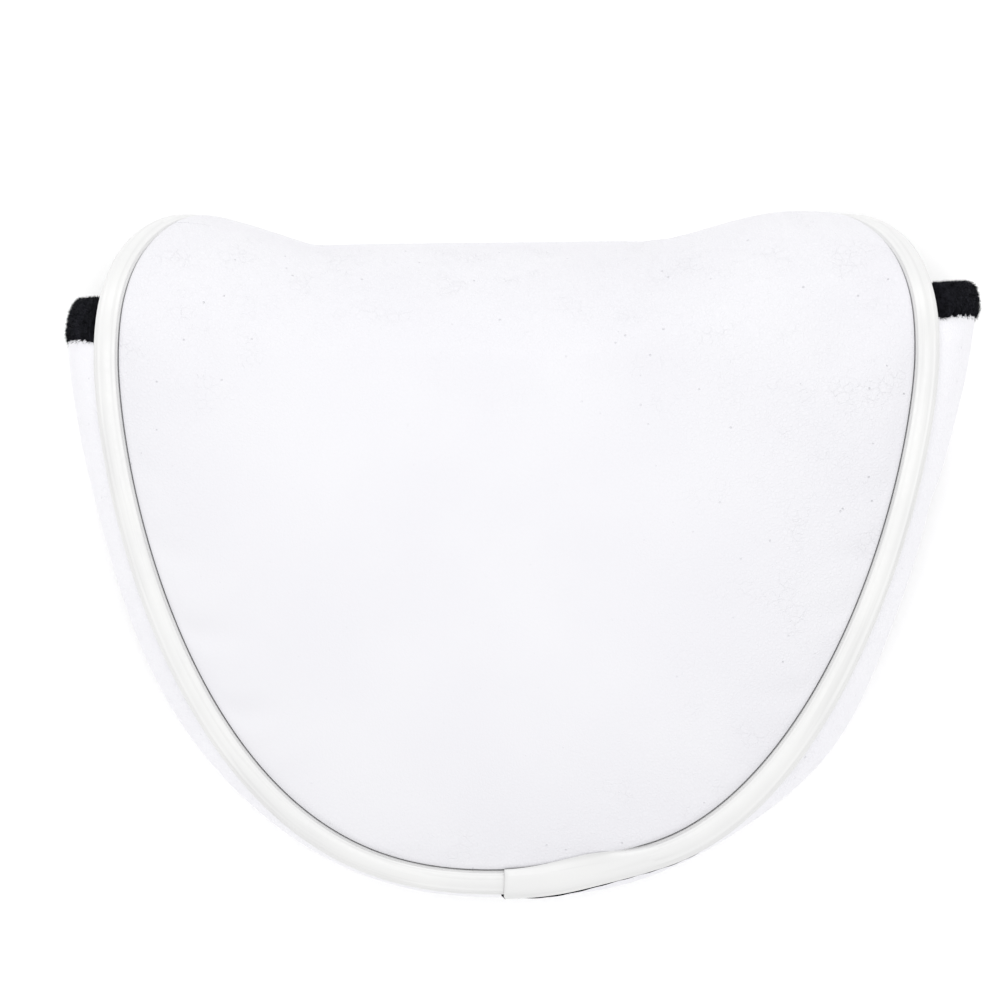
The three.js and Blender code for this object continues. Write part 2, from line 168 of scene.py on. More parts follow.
def squared(value, power):
    """A power that keeps the sign. Below 1, it turns a circle's sine and cosine into a rounded square's."""
    return np.sign(value) * np.abs(value) ** power


def pouch_half_width(s):
    from_widest = 1 - np.clip(s / POUCH_LENGTH, 0, 1)
    return HALF_WIDTH * (1 - from_widest**LENGTH_POWER) ** (1 / WIDTH_POWER)


def half_width(s):
    """Half the panel's width at pattern length s: the pouch, the shoulders over the roll, then the flap."""
    past = np.clip((s - POUCH_LENGTH) / SHOULDER_LENGTH, 0, 1) ** SHOULDER_POWER
    wide = lerp(HALF_WIDTH, FLAP_HALF_WIDTH, smoothstep(past, 0, 1))
    into_corner = np.clip(s - (FLAP_END - FLAP_CORNER), 0, FLAP_CORNER)
    beyond = wide - FLAP_CORNER + np.sqrt(FLAP_CORNER**2 - into_corner**2)
    return np.where(s <= POUCH_LENGTH, pouch_half_width(s), beyond)


def front_seam_z(y):
    below = np.clip((ROLL_Y - y) / POUCH_LENGTH, 0, FRONT_DROP_END)
    return 2 * ROLL_RADIUS - FRONT_DROP * below**FRONT_DROP_POWER


def front_crown(x, s):
    across = np.clip(1 - (np.abs(x) / (half_width(s) + TINY)) ** CROWN_SQUARENESS, 0, 1)
    from_end = 1 - (1 - np.clip(s / CROWN_RISE, 0, 1)) ** 2
    over_roll = 1 - smoothstep(s, POUCH_LENGTH - CROWN_FADE, POUCH_LENGTH + CROWN_FADE)
    return FRONT_CROWN * across * from_end * over_roll


def roll_dip(x):
    return ROLL_DIP * (1 - smoothstep(np.abs(x - DIP_MIDDLE_X), DIP_INNER, DIP_OUTER))


def seam_pull(x, s):
    """The seam is drawn in a little where the piping's ends overlap."""
    return PULL * np.exp(-(((x - PULL_X) / PULL_SPREAD) ** 2)) * (1 - smoothstep(s, *PULL_FADE))


def leaned(x, y, z):
    """The whole cover leans a little to the left towards its curved end."""
    return np.stack([x + LEAN * (y - ROLL_Y), y, z], -1)


def pattern_point(x, s, h):
    """A place on the pattern as an array of points. The inputs are arrays of one shape."""
    x, s, h = np.broadcast_arrays(x, s, h)
    height = h + front_crown(x, s) + panel_lift.at(x / np.maximum(half_width(s), 1), s)
    y_flat = SEAM_END_Y + s + seam_pull(x, s)
    z_flat = front_seam_z(y_flat) + height
    angle = np.clip((s - POUCH_LENGTH) / ROLL_RADIUS, 0, math.pi)
    tail = np.maximum(s - POUCH_LENGTH - ROLL_LENGTH, 0)
    y_roll = ROLL_Y + (ROLL_RADIUS - roll_dip(x) + height) * np.sin(angle) - tail
    z_roll = ROLL_Z + (ROLL_RADIUS + height) * np.cos(angle)
    on_front = s <= POUCH_LENGTH
    return leaned(x, np.where(on_front, y_flat, y_roll), np.where(on_front, z_flat, z_roll))


class Lift:
    """How far padding pushes its cover out, over a grid of (column, row) places. Zero until set."""

    def __init__(self, columns, rows):
        self.columns = columns
        self.rows = rows
        self.values = np.zeros((len(rows), len(columns)))

    def at(self, column, row):
        """The lift at any places, between the grid's own."""
        place = []
        for value, axis in ((row, self.rows), (column, self.columns)):
            steps = (value - axis[0]) / (axis[1] - axis[0])
            place.append(np.clip(steps, 0, len(axis) - 1.001))
        i, j = (steps.astype(int) for steps in place)
        u, v = (steps - whole for steps, whole in zip(place, (i, j)))
        grid = self.values
        low = lerp(grid[i, j], grid[i, j + 1], v)
        high = lerp(grid[i + 1, j], grid[i + 1, j + 1], v)
        return lerp(low, high, u)

    def set(self, values):
        """Takes the values on a finer grid, through smooth curves."""
        for axis in range(2):
            values = refined(values, axis)
        self.values = values
        self.rows = np.linspace(self.rows[0], self.rows[-1], values.shape[0])
        self.columns = np.linspace(self.columns[0], self.columns[-1], values.shape[1])


REFINE = 4


def refined(values, axis):
    """Catmull-Rom curves through values spaced evenly along an axis."""
    count = values.shape[axis]
    place = np.linspace(0, count - 1, REFINE * (count - 1) + 1)
    first = np.minimum(place.astype(int), count - 2)
    u = place - first
    powers = [
        (-u + 2 * u**2 - u**3) / 2,
        (2 - 5 * u**2 + 3 * u**3) / 2,
        (u + 4 * u**2 - 3 * u**3) / 2,
        (-(u**2) + u**3) / 2,
    ]
    shape = [1, 1]
    shape[axis] = -1
    made = 0
    for offset, weight in enumerate(powers):
        index = np.clip(first + offset - 1, 0, count - 1)
        made = made + np.take(values, index, axis) * weight.reshape(shape)
    return made


SHEET_SPACING = 3.0
SHEET_START = 0.6
SHEET_COLUMNS = 44
LIFT_END_DEGREES = 160
panel_lift = Lift(
    np.linspace(-1, 1, SHEET_COLUMNS + 1),
    np.arange(SHEET_START, POUCH_LENGTH + math.radians(LIFT_END_DEGREES) * ROLL_RADIUS, SHEET_SPACING),
)


def back_z(y):
    return BACK_STEP * smoothstep(y, STEP_LOW_Y, STEP_HIGH_Y)


def back_point(x, along, h):
    """A place on the back panel, against length from the curved end."""
    x, along, h = np.broadcast_arrays(x, along, h)
    y = SEAM_END_Y + along
    return leaned(x, y, back_z(y) - h)


# ------------------------------------------------------------------ outlines

EDGE_SAMPLES = 6001
EDGE_CROWDING = 2.4
DIRECTION_STEP = 0.4
PLAN_OVER_ROLL = 0.8


class Edge:
    """The right-hand edge of an outline, from the middle of its closed end. The left is its mirror image."""

    def __init__(self, width_at, last):
        self.along = last * np.linspace(0, 1, EDGE_SAMPLES) ** EDGE_CROWDING
        self.x = width_at(self.along)
        pieces = np.hypot(np.diff(self.x), np.diff(self.along))
        self.length = np.concatenate([[0], np.cumsum(pieces)])
        self.total = self.length[-1]

    def length_to(self, along):
        return np.interp(along, self.along, self.length)

    def place(self, length):
        """x and along at signed lengths, negative on the left."""
        reach = np.abs(length)
        x = np.sign(length) * np.interp(reach, self.length, self.x)
        return x, np.interp(reach, self.length, self.along)

    def at(self, length):
        """x, along and the outward direction at signed lengths, the direction taken over a short step."""
        length = np.clip(length, -self.total, self.total)
        x_before, along_before = self.place(np.maximum(length - DIRECTION_STEP, -self.total))
        x_after, along_after = self.place(np.minimum(length + DIRECTION_STEP, self.total))
        out_x = along_after - along_before
        out_along = x_before - x_after
        size = np.hypot(out_x, out_along)
        x, along = self.place(length)
        return x, along, out_x / size, out_along / size


def plan_half_width(from_end):
    """Half the pouch's width seen from above, which curves in over the roll."""
    into_roll = np.clip((from_end - POUCH_LENGTH) / ROLL_RADIUS, 0, 1)
    over_roll = POUCH_LENGTH + np.arcsin(into_roll) * ROLL_RADIUS
    return half_width(np.where(into_roll > 0, over_roll, from_end))


def split_length(degrees):
    """Pattern length at an angle round the roll."""
    return POUCH_LENGTH + math.radians(degrees) * ROLL_RADIUS


def flap_width_from_end(from_end):
    return half_width(FLAP_END - from_end)


front_edge = Edge(half_width, split_length(SPLITS[0]))
flap_edge = Edge(flap_width_from_end, FLAP_END - split_length(SPLITS[1]))
plan_edge = Edge(plan_half_width, POUCH_LENGTH + PLAN_OVER_ROLL * ROLL_RADIUS)
back_edge = Edge(pouch_half_width, LIP_LOW_Y - SEAM_END_Y)


# ------------------------------------------------------------------ meshes

def grid_faces(index, closed_rows=False):
    """Quads between neighbours of an index grid, which may repeat an index."""
    if closed_rows:
        index = np.concatenate([index, index[:, :1]], 1)
    a, b, c, d = index[:-1, :-1], index[:-1, 1:], index[1:, 1:], index[1:, :-1]
    return np.stack([a, b, c, d], -1).reshape(-1, 4)


def add_mesh(name, points, faces, material, sharp=50):
    """A mesh object from points in millimetres. Faces may hold a corner twice, which makes a triangle."""
    mesh = bpy.data.meshes.new(name)
    tidy = []
    for face in faces.tolist():
        corners = [k for i, k in enumerate(face) if k != face[i - 1]]
        if len(corners) > 2:
            tidy.append(corners)
    mesh.from_pydata((points * MM).tolist(), [], tidy)
    mesh.polygons.foreach_set("use_smooth", [True] * len(mesh.polygons))
    mesh.set_sharp_from_angle(angle=math.radians(sharp))
    mesh.materials.append(material)
    made = bpy.data.objects.new(name, mesh)
    bpy.context.scene.collection.objects.link(made)
    return made


def add_slab(name, outer, inner, faces, material):
    """A closed solid between two matching sets of points, with a wall round the faces' free edges."""
    count = len(outer)
    starts, ends = faces.ravel(), np.roll(faces, -1, 1).ravel()
    real = starts != ends
    codes = starts[real] * count + ends[real]
    back_codes = ends[real] * count + starts[real]
    free = codes[~np.isin(codes, back_codes)]
    a, b = free // count, free % count
    walls = np.stack([b, a, a + count, b + count], -1)
    every = np.concatenate([faces, faces[:, ::-1] + count, walls])
    points = np.concatenate([outer, inner])
    if signed_volume(points, every) < 0:
        every = every[:, ::-1]
    return add_mesh(name, points, every, material)


def signed_volume(points, faces):
    a, b, c, d = (points[faces[:, k]] for k in range(4))
    return (np.einsum("ij,ij->i", a, np.cross(b, c)) + np.einsum("ij,ij->i", a, np.cross(c, d))).sum()


def add_tube(name, rings, material):
    """A closed solid through rings of points, array [ring, corner, 3], with flat ends."""
    count, corners = rings.shape[:2]
    index = np.arange(count * corners).reshape(count, corners)
    sides = grid_faces(index, closed_rows=True)
    hubs = count * corners + np.arange(2)
    caps = []
    for hub, ring in ((hubs[0], index[0]), (hubs[1], index[-1][::-1])):
        onward = np.roll(ring, 1)
        caps.append(np.stack([ring, onward, np.full(corners, hub), np.full(corners, hub)], -1))
    points = np.concatenate([rings.reshape(-1, 3), rings[[0, -1]].mean(1)])
    faces = np.concatenate([sides, *caps])
    if signed_volume(points, faces) < 0:
        faces = faces[:, ::-1]
    return add_mesh(name, points, faces, material)


def set_attribute(piece, name, values):
    kind = "FLOAT" if values.ndim == 1 else "FLOAT_VECTOR"
    made = piece.data.attributes.new(name, kind, "POINT")
    made.data.foreach_set("value" if values.ndim == 1 else "vector", values.astype(np.float32).ravel())


# ------------------------------------------------------------------ materials

# Texture scales are counted per metre, and bump heights are in metres.
# Plain, a lighter tone for the mottle, and the tint of the painted shade in creases and pores.
LEATHER_TINTS = ((0.965, 0.958, 1.0), (0.99, 0.985, 1.02), (0.54, 0.54, 0.6))
WARP_SCALE = 700
WARP_REACH = (0.001, 0.001, 0.001)
FINE_CREASES = 1650
COARSE_CREASES = 700
CREASE_PATCHES = 130
PORE_SPACING = 330
PEBBLE_SCALE = 2600
MOTTLE_SCALE = 38
GRAIN_HEIGHT = 0.000075
VINYL_WAVES = 70
VINYL_GRAIN = 1300
VINYL_STRETCH = (0.03, 1.0, 1.0)
TUFT_SCALE = 1500
NAP_SCALE = 210
FOAM_CELLS = 1400
CORD_STRANDS = 420.0
CORD_FIBRES = 2600
SCRATCH_SCALE = 3000


def new_material(name, color, roughness, metallic=0.0):
    made = bpy.data.materials.new(name)
    made.use_nodes = True
    shader = made.node_tree.nodes["Principled BSDF"]
    shader.inputs["Base Color"].default_value = (*color, 1)
    shader.inputs["Roughness"].default_value = roughness
    shader.inputs["Metallic"].default_value = metallic
    made.diffuse_color = (*color, 1)
    return made


class Graph:
    """Short names for the nodes of one material."""

    def __init__(self, material):
        self.tree = material.node_tree
        self.shader = self.tree.nodes["Principled BSDF"]

    def put(self, socket, value):
        if isinstance(value, bpy.types.NodeSocket):
            self.tree.links.new(value, socket)
        else:
            socket.default_value = value

    def put_all(self, node, inputs):
        """Links or sets inputs by name, where an underscore stands for a space."""
        for key, value in inputs.items():
            self.put(node.inputs[key.replace("_", " ")], value)

    def surface(self, **inputs):
        self.put_all(self.shader, inputs)

    def add(self, kind, settings):
        made = self.tree.nodes.new(kind)
        for key, value in settings.items():
            setattr(made, key, value)
        return made

    def named(self, kind, output, settings, **inputs):
        """A node whose inputs are filled by name."""
        made = self.add(kind, settings)
        self.put_all(made, inputs)
        return made.outputs[output]

    def ordered(self, kind, settings, values):
        """A node whose inputs are filled in their own order."""
        made = self.add(kind, settings)
        for socket, value in zip(made.inputs, values):
            self.put(socket, value)
        return made.outputs[0]

    def attribute(self, name, output):
        return self.named("ShaderNodeAttribute", output, {"attribute_name": name})

    def grain(self):
        """The place on the uncut leather, strip or cloth."""
        return self.attribute("grain", "Vector")

    def subtract(self, a, b):
        return self.ordered("ShaderNodeMath", {"operation": "SUBTRACT"}, (a, b))

    def times(self, a, b):
        return self.ordered("ShaderNodeMath", {"operation": "MULTIPLY"}, (a, b))

    def plus(self, a, b):
        return self.ordered("ShaderNodeMath", {"operation": "ADD"}, (a, b))

    def vector(self, operation, *values):
        return self.ordered("ShaderNodeVectorMath", {"operation": operation}, values)

    def noise(self, vector, scale, detail=2.0, roughness=0.5, output="Fac"):
        return self.named(
            "ShaderNodeTexNoise", output, {}, Vector=vector, Scale=scale, Detail=detail, Roughness=roughness
        )

    def voronoi(self, vector, scale, feature="F1"):
        """Distance to the nearest cell's middle, or to its edge."""
        settings = {"feature": feature}
        return self.named("ShaderNodeTexVoronoi", "Distance", settings, Vector=vector, Scale=scale)

    def ramp(self, value, low, high, to_low=0.0, to_high=1.0):
        settings = {"interpolation_type": "SMOOTHSTEP"}
        return self.ordered("ShaderNodeMapRange", settings, (value, low, high, to_low, to_high))

    def mix_color(self, share, a, b):
        """A mix of two colours, each of them three numbers or a socket."""
        made = self.add("ShaderNodeMix", {"data_type": "RGBA"})
        for number, value in ((0, share), (6, a), (7, b)):
            self.put(made.inputs[number], (*value, 1) if isinstance(value, tuple) else value)
        return made.outputs[2]

    def bump(self, height, distance, strength):
        return self.named("ShaderNodeBump", "Normal", {}, Height=height, Distance=distance, Strength=strength)


def leather_material(name, tone):
    """Pale leather: a net of short creases and small pores, deeper where the `crease` attribute is high. The
    creases and pores are also darkened in the colour, as painted shade.
    """
    plain, light, crease_shade_tint = (tuple(tone * share for share in tint) for tint in LEATHER_TINTS)
    made = new_material(name, plain, 0.5)
    g = Graph(made)
    place = g.grain()
    depth = g.attribute("crease", "Fac")

    warp = g.noise(place, WARP_SCALE, detail=3, output="Color")
    bent = g.vector("MULTIPLY_ADD", warp, WARP_REACH, place)
    fine = g.ramp(g.voronoi(bent, FINE_CREASES, "DISTANCE_TO_EDGE"), 0.0, 0.3, 1, 0)
    coarse = g.ramp(g.voronoi(bent, COARSE_CREASES, "DISTANCE_TO_EDGE"), 0.0, 0.1, 1, 0)
    coarse = g.times(coarse, g.ramp(g.noise(place, CREASE_PATCHES), 0.5, 0.68))
    creases = g.plus(g.times(fine, 0.5), g.times(coarse, 0.6))
    pores = g.ramp(g.voronoi(place, PORE_SPACING), 0.03, 0.065, 1, 0)
    marks = g.times(g.plus(creases, g.times(pores, 1.6)), depth)
    worn = g.noise(place, PEBBLE_SCALE, detail=3, roughness=0.55)
    pebble = g.times(g.times(worn, 0.8), depth)

    mottle = g.ramp(g.noise(place, MOTTLE_SCALE, detail=3), 0.3, 0.7)
    # Painted shade: the creases and pores are darkened in the colour, towards the crease shade tint.
    shade = g.times(g.plus(g.times(creases, 0.08), g.times(pores, 0.32)), depth)
    g.surface(
        Base_Color=g.mix_color(shade, g.mix_color(mottle, plain, light), crease_shade_tint),
        Roughness=g.ramp(worn, 0.3, 0.7, 0.46, 0.58),
        Normal=g.bump(g.subtract(pebble, marks), GRAIN_HEIGHT, 0.85),
        Specular_IOR_Level=0.4,
    )
    return made


def piping_material():
    """Smooth coated vinyl with a slight pull along it."""
    made = new_material("piping_vinyl", (0.65, 0.65, 0.65), 0.3)
    g = Graph(made)
    place = g.grain()
    slow = g.noise(place, VINYL_WAVES)
    fine = g.noise(place, VINYL_GRAIN, detail=3)
    pulls = g.noise(g.vector("MULTIPLY", place, VINYL_STRETCH), VINYL_GRAIN)
    height = g.plus(slow, g.plus(g.times(fine, 0.02), g.times(pulls, 0.3)))
    even = g.mix_color(g.ramp(slow, 0.35, 0.7), (0.62, 0.62, 0.62), (0.645, 0.645, 0.64))
    streaks = g.times(g.ramp(pulls, 0.5, 0.66), 0.2)
    g.surface(
        Base_Color=g.mix_color(streaks, even, (0.45, 0.45, 0.45)),
        Roughness=g.ramp(fine, 0.3, 0.7, 0.34, 0.44),
        Normal=g.bump(height, 0.0003, 0.2),
        Coat_Weight=0.1,
        Coat_Roughness=0.25,
    )
    return made


def plush_material():
    """Black short-pile cloth, with a faint blue sheen."""
    made = new_material("plush_pile", (0.003, 0.003, 0.004), 0.95)
    g = Graph(made)
    place = g.grain()
    tuft = g.noise(place, TUFT_SCALE, detail=4, roughness=0.65)
    nap = g.noise(place, NAP_SCALE)
    lit = g.ramp(g.times(tuft, nap), 0.15, 0.4)
    g.surface(
        Base_Color=g.mix_color(lit, (0.0015, 0.0015, 0.002), (0.009, 0.009, 0.012)),
        Normal=g.bump(g.plus(g.times(tuft, 0.7), g.times(nap, 0.6)), 0.0006, 0.9),
        Sheen_Weight=0.03,
        Sheen_Roughness=0.4,
        Sheen_Tint=(0.5, 0.55, 0.75, 1),
        Specular_IOR_Level=0.05,
    )
    return made


def foam_material():
    """Open-cell foam."""
    made = new_material("foam_cells", (0.72, 0.68, 0.56), 0.9)
    g = Graph(made)
    cells = g.ramp(g.voronoi(g.grain(), FOAM_CELLS), 0.1, 0.55)
    # Painted shade: the colour is darker in each cell's hollow, where the bump sinks.
    g.surface(
        Base_Color=g.mix_color(cells, (0.5, 0.46, 0.36), (0.76, 0.72, 0.6)),
        Normal=g.bump(cells, 0.0004, 0.8),
    )
    return made


def cord_material():
    """Twisted cotton filler cord."""
    made = new_material("filler_cord", (0.7, 0.69, 0.64), 0.85)
    g = Graph(made)
    place = g.grain()
    settings = {"bands_direction": "DIAGONAL"}
    strands = g.named("ShaderNodeTexWave", "Fac", settings, Vector=place, Scale=CORD_STRANDS, Distortion=0.6)
    height = g.plus(strands, g.times(g.noise(place, CORD_FIBRES, detail=3), 0.3))
    # Painted shade: the colour is darker in the grooves between strands, where the bump sinks.
    g.surface(
        Base_Color=g.mix_color(strands, (0.5, 0.49, 0.45), (0.74, 0.73, 0.68)),
        Normal=g.bump(height, 0.0003, 0.8),
    )
    return made


def magnet_material():
    """Bright nickel plate with fine scratches."""
    made = new_material("nickel_plate", (0.62, 0.62, 0.6), 0.25, metallic=1.0)
    g = Graph(made)
    place = g.named("ShaderNodeTexCoord", "Object", {})
    scratches = g.noise(place, SCRATCH_SCALE, detail=5, roughness=0.7)
    g.surface(
        Roughness=g.ramp(scratches, 0.35, 0.65, 0.18, 0.38),
        Normal=g.bump(scratches, 0.00002, 0.5),
    )
    return made


leather = leather_material("leather_grain", 0.665)
# The gusset gets a lighter copy of the same leather: painted light, making up for the less light its upright
# sides get.
side_leather_painted_light = leather_material("leather_side_grain_painted_light", 0.78)
vinyl = piping_material()
plush = plush_material()
foam = foam_material()
cotton = cord_material()
nickel = magnet_material()


# ------------------------------------------------------------------ padding

SIM_SCALE = 10
SIM_FRAMES = 24
SIM_PRESSURE = 0.8
SIM_SLACK = 0.004
PANEL_LIFT_MOST = 0.7
GUSSET_LIFT_MOST = 0.45


def puffed(points, held):
    """Cloth under pressure from inside, held at some points. Returns how far each point of the grid rises."""
    rows, columns = points.shape[:2]
    flat = points.reshape(-1, 3)
    index = np.arange(rows * columns).reshape(rows, columns)
    sheet = add_mesh("padding_trial", flat * SIM_SCALE, grid_faces(index), leather)
    normals = np.array([vertex.normal[:] for vertex in sheet.data.vertices])
    pins = sheet.vertex_groups.new(name="held")
    pins.add(index[held].ravel().tolist(), 1.0, "REPLACE")

    cloth = sheet.modifiers.new("cloth", "CLOTH").settings
    cloth.quality = 8
    cloth.mass = 0.2
    cloth.tension_stiffness = 60
    cloth.compression_stiffness = 60
    cloth.shear_stiffness = 30
    cloth.bending_stiffness = 6
    cloth.vertex_group_mass = "held"
    cloth.use_pressure = True
    cloth.uniform_pressure_force = SIM_PRESSURE
    cloth.shrink_min = -SIM_SLACK
    cloth.effector_weights.gravity = 0
    scene = bpy.context.scene
    for number in range(1, SIM_FRAMES + 1):
        scene.frame_set(number)
    moved = sheet.evaluated_get(bpy.context.evaluated_depsgraph_get())
    places = np.array([vertex.co[:] for vertex in moved.data.vertices]) / (MM * SIM_SCALE)
    scene.frame_set(1)
    bpy.data.meshes.remove(sheet.data)
    rise = ((places - flat) * normals).sum(1).reshape(rows, columns)
    print("padding rises", rise.min().round(2), "to", rise.max().round(2), "mm")
    return rise


def puff(lift, most, points):
    """Sets a lift from cloth held along all four sides of its grid. The rise levels off at `most`."""
    held = np.ones(points.shape[:2], bool)
    held[1:-1, 1:-1] = False
    lift.set(most * np.tanh(puffed(points, held) / most) * ~held)


def puff_front():
    """The front panel and roll, held along both seams, at the curved end and on the way into the flap."""
    share, s = np.meshgrid(panel_lift.columns, panel_lift.rows)
    puff(panel_lift, PANEL_LIFT_MOST, pattern_point(share * half_width(s), s, np.zeros_like(s)))


def puff_gusset():
    """The gusset, held along both seams and at its ends."""
    depth, length = np.meshgrid(gusset_lift.columns, gusset_lift.rows)
    puff(gusset_lift, GUSSET_LIFT_MOST, gusset_point(length, depth, LEATHER_OUT))


# ------------------------------------------------------------------ panels

# Spacing along the edge, steps from the edge to the spine, and how far the layer stops short of the edge.
GRIDS = {"leather": (0.8, 64, 0.0), "foam": (2.0, 24, 3.4), "lining": (2.0, 24, 0.0)}
EDGE_POWER = 1.9
BORDER_ROW = 0.05
FAN_SLOPE = 0.15
FRONT_SPINE = 34
FLAP_SPINE = 22
BACK_SPINE = 30

# The leather rolls down into the seam along its edge.
TURN_WIDTH = 0.8
TURN_DEPTH = 0.5
PANEL_PUCKER = 0.04
PUCKER_HEIGHT = 0.1
PUCKER_REACH = 5.0
TURN_INSIDE = 0.5


def into_turn(from_edge):
    """From 0, on the open face, to 1, at the edge."""
    return np.clip(1 - from_edge / TURN_WIDTH, 0, 1)


def turned_down(into):
    return -TURN_DEPTH * (1 - np.sqrt(1 - into**2))


class Panel:
    """Grid lines that fan out from a spine on the middle line to every point of a closed edge."""

    def __init__(self, edge, reach, spacing, steps, inset):
        count = int(round(edge.total / spacing))
        length = np.linspace(0, edge.total, count + 1)
        length = np.insert(length, count, edge.total - BORDER_ROW)
        edge_x, edge_along, out_x, out_along = edge.at(length)
        raw = np.sqrt((edge_along + FAN_SLOPE * length) ** 2 + reach**2)
        spine = reach + (raw - raw[0]) * (edge_along[-1] - reach) / (raw[-1] - raw[0])
        to_edge = np.hypot(edge_x, edge_along - spine)
        squareness = (edge_x * out_x + (edge_along - spine) * out_along) / to_edge
        share = 1 - (1 - np.linspace(0, 1, steps + 1)) ** EDGE_POWER
        share = share[None, :] * (1 - inset / to_edge[:, None])

        right_x = edge_x[:, None] * share
        right_along = spine[:, None] + (edge_along - spine)[:, None] * share
        from_edge = (1 - share) * (to_edge * squareness)[:, None]
        lines = len(length)
        self.x = np.concatenate([-right_x[:0:-1], right_x]).ravel()
        self.along = np.concatenate([right_along[:0:-1], right_along]).ravel()
        self.from_edge = np.concatenate([from_edge[:0:-1], from_edge]).ravel()
        signed = np.concatenate([-length[:0:-1], length])
        self.edge_length = np.repeat(signed, steps + 1)

        index = np.arange((2 * lines - 1) * (steps + 1)).reshape(2 * lines - 1, steps + 1)
        index[: lines - 1, 0] = index[: lines - 1 : -1, 0]
        self.faces = grid_faces(index)

    def height(self):
        """How far the outer face stands out: it turns down at the edge, with small puckers near the seam."""
        into = into_turn(self.from_edge)
        fade = np.exp(-((self.from_edge / PUCKER_REACH) ** 2)) * (1 - into)
        along = self.edge_length
        wave = np.sin(along / 1.15 + 1.3 * np.sin(along / 7.1)) + 0.6 * np.sin(along / 2.3 + 2)
        return turned_down(into) + PANEL_PUCKER * fade * wave


STRETCHED_MIDDLE = (-14, 43)
STRETCHED_REACH = (58, 46)
STRETCHED_GRAIN = 0.12
BACK_GRAIN = 0.9


def crease_depth(x, s):
    """Grain is flatter where the leather is stretched over the middle of the padding."""
    across = (x - STRETCHED_MIDDLE[0]) / STRETCHED_REACH[0]
    along = (s - STRETCHED_MIDDLE[1]) / STRETCHED_REACH[1]
    return lerp(STRETCHED_GRAIN, 1, smoothstep(np.hypot(across, along), 0.5, 1.2))


def full_crease(x, s):
    return np.full_like(x, BACK_GRAIN)


def finish_piece(piece, coordinates, crease=None):
    """Grain coordinates and crease depth for both faces of a slab."""
    set_attribute(piece, "grain", np.concatenate([coordinates, coordinates]) * MM)
    if crease is not None:
        set_attribute(piece, "crease", np.concatenate([crease, crease]))
    return piece


# Heights of a layer's two faces. Foam and lining are a little thicker than in the CAD, to close the gaps.
SNUG = 0.1
LAYERS = {
    "leather": (0.0, -LEATHER),
    "foam": (-LEATHER - SNUG / 2, -LEATHER - GAP - FOAM - SNUG),
    "lining": (-PANEL_WALL + PLUSH + SNUG, -PANEL_WALL),
}
MATERIALS = {"leather": leather, "foam": foam, "lining": plush}


def panel_piece(name, layer, edge, reach, place, s_of, crease_at, extra=None):
    """One layer of a panel with a closed edge. Only the leather turns down there, and has grain."""
    panel = Panel(edge, reach, *GRIDS[layer])
    s = s_of(panel.along)
    raised, crease = np.zeros_like(panel.x), None
    if layer == "leather":
        raised, crease = panel.height(), crease_at(panel.x, s)
        if extra is not None:
            raised = raised + extra(panel.x, s)
    top, bottom = LAYERS[layer]
    outer = place(panel.x, s, top + raised)
    inner = place(panel.x, s, bottom + np.minimum(raised, 0) * TURN_INSIDE)
    piece = add_slab(name, outer, inner, panel.faces, MATERIALS[layer])
    coordinates = np.stack([panel.x, s, np.zeros_like(s)], -1)
    return finish_piece(piece, coordinates, crease)


def roll_piece(name, layer):
    """One layer of the band over the roll, between the two splits."""
    spacing, steps, inset = GRIDS[layer]
    first, last = (split_length(degrees) for degrees in SPLITS)
    rows = np.linspace(first, last, int(round((last - first) / spacing)) + 1)
    rows = np.sort(np.append(rows, [first + BORDER_ROW, last - BORDER_ROW]))
    share = 1 - (1 - np.linspace(0, 1, steps + 1)) ** EDGE_POWER
    share = np.concatenate([-share[:0:-1], share])
    wide = half_width(rows)[:, None] - inset
    x = wide * share[None, :]
    s = np.broadcast_to(rows[:, None], x.shape)
    raised, crease = np.zeros_like(x), None
    if layer == "leather":
        raised = turned_down(into_turn(wide - np.abs(x)))
        crease = crease_depth(x.ravel(), s.ravel())
    top, bottom = LAYERS[layer]
    outer = pattern_point(x, s, top + raised).reshape(-1, 3)
    inner = pattern_point(x, s, bottom + raised * TURN_INSIDE).reshape(-1, 3)
    faces = grid_faces(np.arange(x.size).reshape(x.shape))
    piece = add_slab(name, outer, inner, faces, MATERIALS[layer])
    coordinates = np.stack([x.ravel(), s.ravel(), np.zeros(x.size)], -1)
    return finish_piece(piece, coordinates, crease)


# How deep, how far out and how wide the sewn ring round each flap magnet sinks into the leather.
MARK_DEPTH = 0.3
MARK_APART = 1.2
MARK_WIDTH = 0.55


def bend_at(piece):
    """Bakes a piece's placement into its mesh, where it stays."""
    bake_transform(piece)


def magnet_mark(x, s):
    """A sewn ring sinks into the leather round each magnet in the flap."""
    low, high = box_mm("flap_magnet_right")
    centre = (low + high) / 2
    from_end = POUCH_LENGTH + ROLL_LENGTH + ROLL_Y - s
    away = np.hypot(np.abs(x) - centre[0], from_end - centre[1])
    radius = (high[0] - low[0]) / 2
    return -MARK_DEPTH * np.exp(-(((away - radius - MARK_APART) / MARK_WIDTH) ** 2))


def from_flap_end(along):
    return FLAP_END - along


def same(along):
    return along


def add_panels():
    for layer, (top, bottom) in LAYERS.items():
        shown = "skin" if layer == "leather" else layer
        front = panel_piece(
            f"front_{shown}", layer, front_edge, FRONT_SPINE, pattern_point, same, crease_depth
        )
        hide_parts(f"front_{layer}")
        bend_at(front)

        roll = roll_piece(f"roll_{shown}", layer)
        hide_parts(f"roll_upper_{layer}", f"roll_lower_{layer}")
        bend_at(roll)

        flap = panel_piece(
            f"flap_{shown}", layer, flap_edge, FLAP_SPINE,
            pattern_point, from_flap_end, crease_depth, magnet_mark,
        )
        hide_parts(f"flap_{layer}")
        bend_at(flap)

        back = panel_piece(f"back_{shown}", layer, back_edge, BACK_SPINE, back_point, same, full_crease)
        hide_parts(f"back_{layer}")
        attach(back, "cover")


